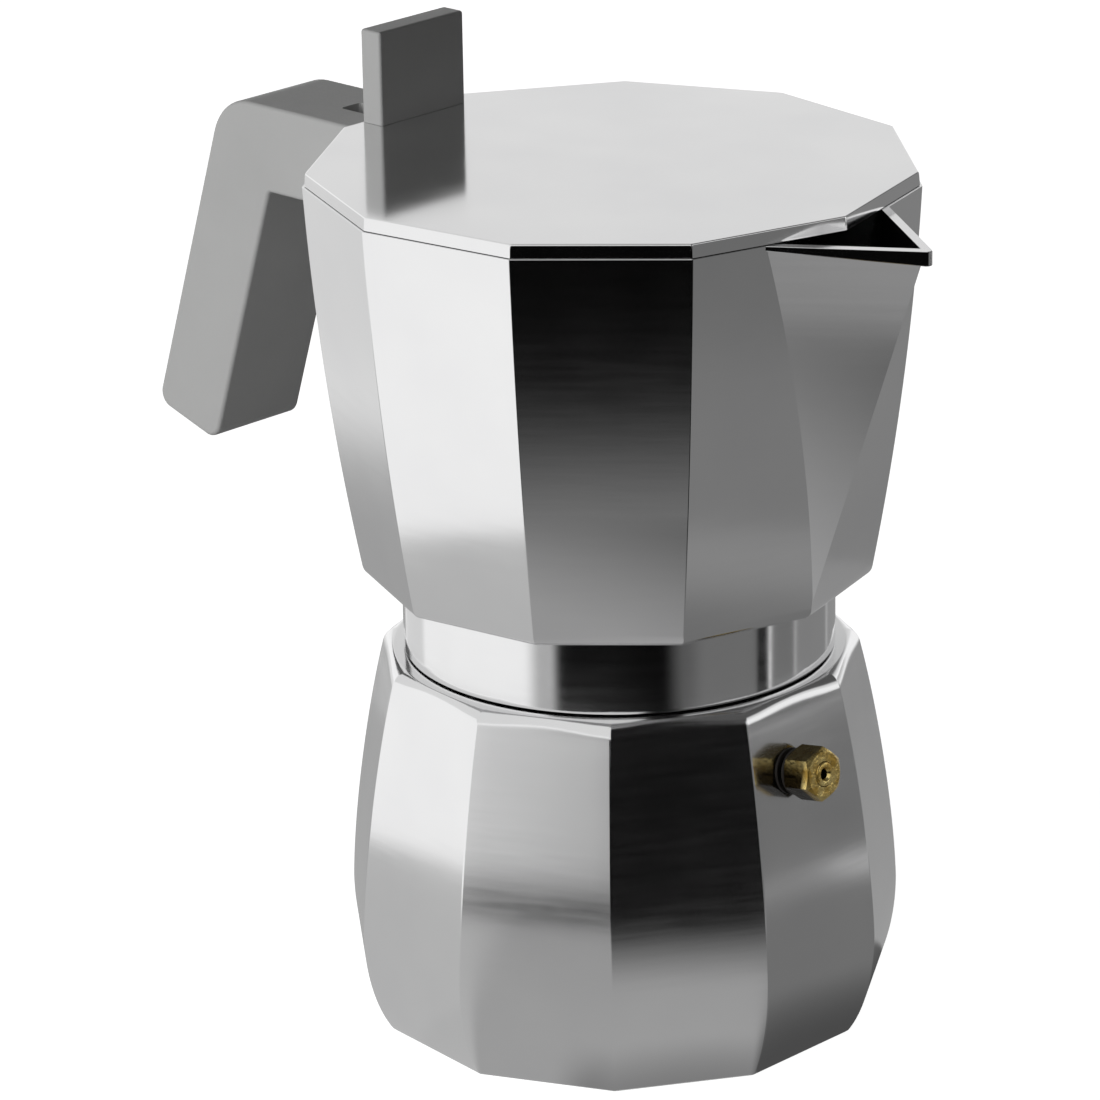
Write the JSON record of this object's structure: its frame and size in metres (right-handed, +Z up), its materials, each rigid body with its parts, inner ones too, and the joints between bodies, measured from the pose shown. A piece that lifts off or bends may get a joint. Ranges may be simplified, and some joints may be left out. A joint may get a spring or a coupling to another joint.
{
  "type": "moka pot",
  "caption": "Faceted cast-aluminium stove-top coffee maker with screw-on upper chamber, pouring beak, hinged flat lid, upright knob and angular plastic handle.",
  "frame": {"origin": "centre of the boiler's flat base, where the pot stands on the hob", "axes": "+Z up, +X towards the pouring beak, -X towards the handle"},
  "size_m": [0.1826, 0.1084, 0.176],
  "materials": {
    "satin_aluminium": "satin, finely brushed",
    "bright_aluminium": "drawn sheet, dull",
    "grey_plastic": "warm grey, fine satin texture",
    "valve_brass": "machined, lightly tarnished",
    "washer_fibre": "pressed red fibre",
    "stainless_steel": "plain",
    "pale_rubber": "matt silicone"
  },
  "bodies": {
    "boiler": {"boiler": "satin_aluminium", "valve_body": "valve_brass", "valve_washer": "washer_fibre", "valve_spring": "stainless_steel", "valve_cap": "valve_brass"},
    "valve_poppet": {"valve_poppet": "stainless_steel"},
    "funnel": {"funnel_cup": "bright_aluminium", "funnel_tube": "bright_aluminium", "funnel_filter": "bright_aluminium"},
    "filter_plate": {"filter_plate": "bright_aluminium"},
    "gasket": {"gasket": "pale_rubber"},
    "upper_chamber": {"upper_chamber": "satin_aluminium", "coffee_column": "bright_aluminium", "handle": "grey_plastic", "handle_screw": "stainless_steel", "handle_washer": "stainless_steel", "hinge_pin": "stainless_steel"},
    "lid": {"lid": "satin_aluminium", "knob": "grey_plastic", "knob_screw_left": "stainless_steel", "knob_screw_right": "stainless_steel"}
  },
  "joints": [
    {"name": "top_lift_off", "type": "slide", "parent": "boiler", "child": "filter_plate", "axis": [0, 0, 1], "range_m": [0, 0.15]},
    {"name": "thread_advance", "type": "slide", "parent": "filter_plate", "child": "gasket", "axis": [0, 0, 1], "range_m": [0, 0.006]},
    {"name": "top_turn", "type": "hinge", "parent": "gasket", "child": "upper_chamber", "pos_m": [0, 0, 0.076], "axis": [0, 0, 1], "range_deg": [0, 720]},
    {"name": "lid_hinge", "type": "hinge", "parent": "upper_chamber", "child": "lid", "pos_m": [-0.0595, 0, 0.152], "axis": [0, -1, 0], "range_deg": [0, 95]},
    {"name": "funnel_lift", "type": "slide", "parent": "boiler", "child": "funnel", "axis": [0, 0, 1], "range_m": [0, 0.075]},
    {"name": "valve_open", "type": "slide", "parent": "boiler", "child": "valve_poppet", "axis": [0.9848, 0, 0.1736], "range_m": [0, 0.0012], "stiffness_N_per_m": 1500, "springref_m": -0.002, "deforming": ["valve_spring"]}
  ],
  "couplings": [
    {"joint": "thread_advance", "follows": "top_turn", "m_per_rad": 0.00047746},
    {"joint": "funnel_lift", "follows": "top_lift_off", "ratio": 0.5}
  ]
}
